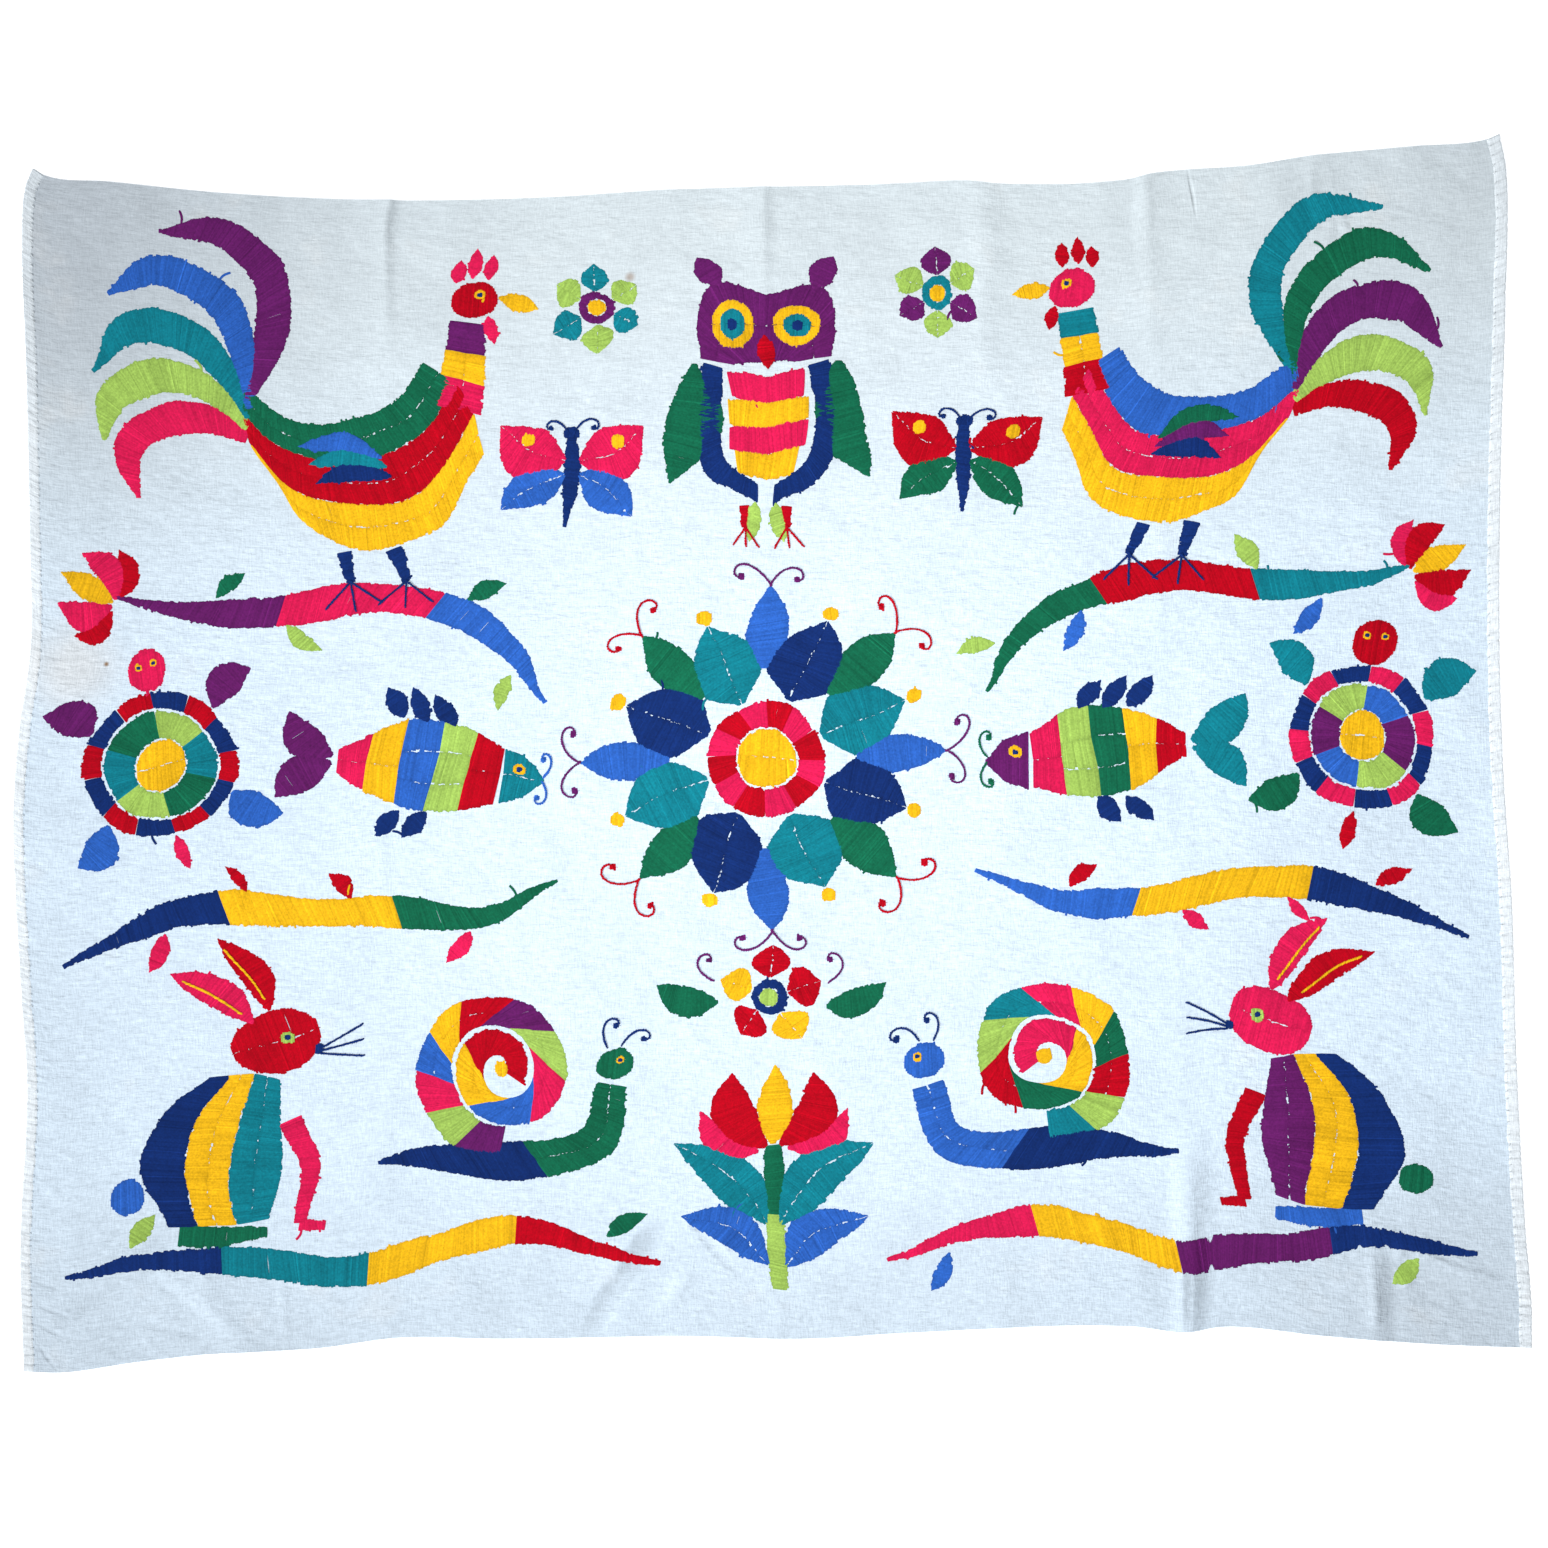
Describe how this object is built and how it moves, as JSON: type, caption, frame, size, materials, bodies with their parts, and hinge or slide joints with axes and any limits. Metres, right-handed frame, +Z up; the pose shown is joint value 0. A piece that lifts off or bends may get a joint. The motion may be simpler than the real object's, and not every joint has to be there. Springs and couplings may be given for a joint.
{
  "type": "otomi embroidered cloth",
  "caption": "Rectangular white cotton cloth, densely stitched with bright birds, animals, flowers and scrolls, with hemmed sides and low storage folds, lying face up.",
  "frame": {"origin": "centre of the cloth's outline, on the surface that it lies on", "axes": "+X to the right along the long way of the cloth, +Y to its top edge, +Z up out of the stitched face"},
  "size_m": [1.6328, 1.3308, 0.0106],
  "materials": {
    "cotton": "plain-woven, washed white cotton with a cool cast",
    "green_thread": "mercerised embroidery thread",
    "teal_thread": "mercerised embroidery thread",
    "blue_thread": "mercerised embroidery thread",
    "navy_thread": "mercerised embroidery thread",
    "red_thread": "mercerised embroidery thread",
    "pink_thread": "mercerised embroidery thread",
    "purple_thread": "mercerised embroidery thread",
    "yellow_thread": "mercerised embroidery thread",
    "lime_thread": "mercerised embroidery thread",
    "white_thread": "plain cotton sewing thread"
  },
  "bodies": {
    "root": {"cloth": "cotton"}
  },
  "joints": []
}
